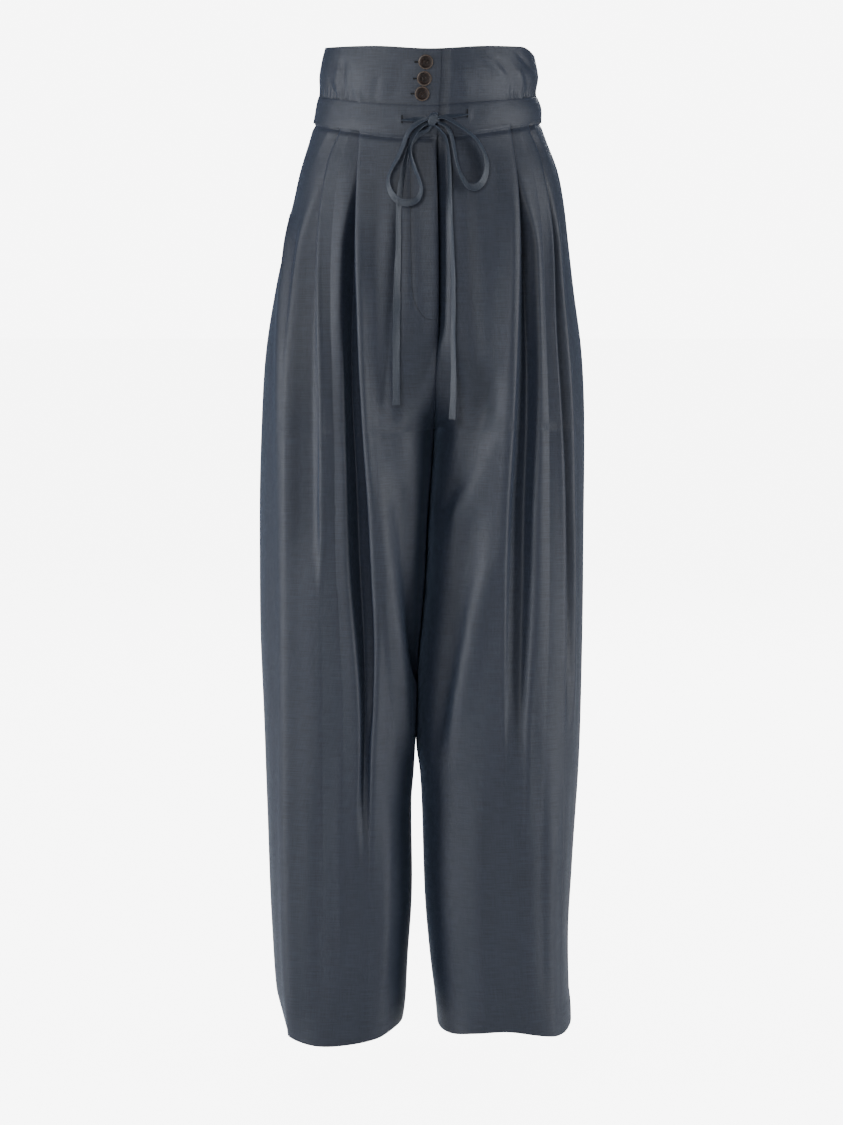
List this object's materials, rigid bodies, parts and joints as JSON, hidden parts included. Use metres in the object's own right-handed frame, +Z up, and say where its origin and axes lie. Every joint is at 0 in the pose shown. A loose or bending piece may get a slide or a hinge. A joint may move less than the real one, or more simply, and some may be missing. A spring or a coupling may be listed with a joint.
{
  "type": "wide-leg pants",
  "caption": "High-waisted pleated wide-leg trousers, worn form, hollow, with a buttoned corselet waist, a casing tied in a bow and a fly.",
  "frame": {"origin": "centre of the waist opening, level with the tie, where the wearer's waist holds the garment", "axes": "+Z up towards the top edge, the front faces -Y, +X is the wearer's left"},
  "size_m": [0.3694, 0.2613, 1.1202],
  "materials": {
    "cloth": "slate blue plain weave with a soft silky sheen",
    "horn": "dark brown horn look, polished rim, matt dish"
  },
  "bodies": {
    "root": {"corselet_front_right": "cloth", "corselet_front_left": "cloth", "corselet_back": "cloth", "casing_front_right": "cloth", "casing_front_left": "cloth", "casing_back": "cloth", "leg_front_right": "cloth", "leg_back_right": "cloth", "leg_front_left": "cloth", "leg_back_left": "cloth", "fly_shield": "cloth", "drawstring_right_ribbon": "cloth", "drawstring_left_ribbon": "cloth", "drawstring_right_loop": "cloth", "drawstring_left_loop": "cloth", "drawstring_right_tail": "cloth", "drawstring_left_tail": "cloth", "bow_knot": "cloth", "button_1": "horn", "button_2": "horn", "button_3": "horn"}
  },
  "joints": []
}
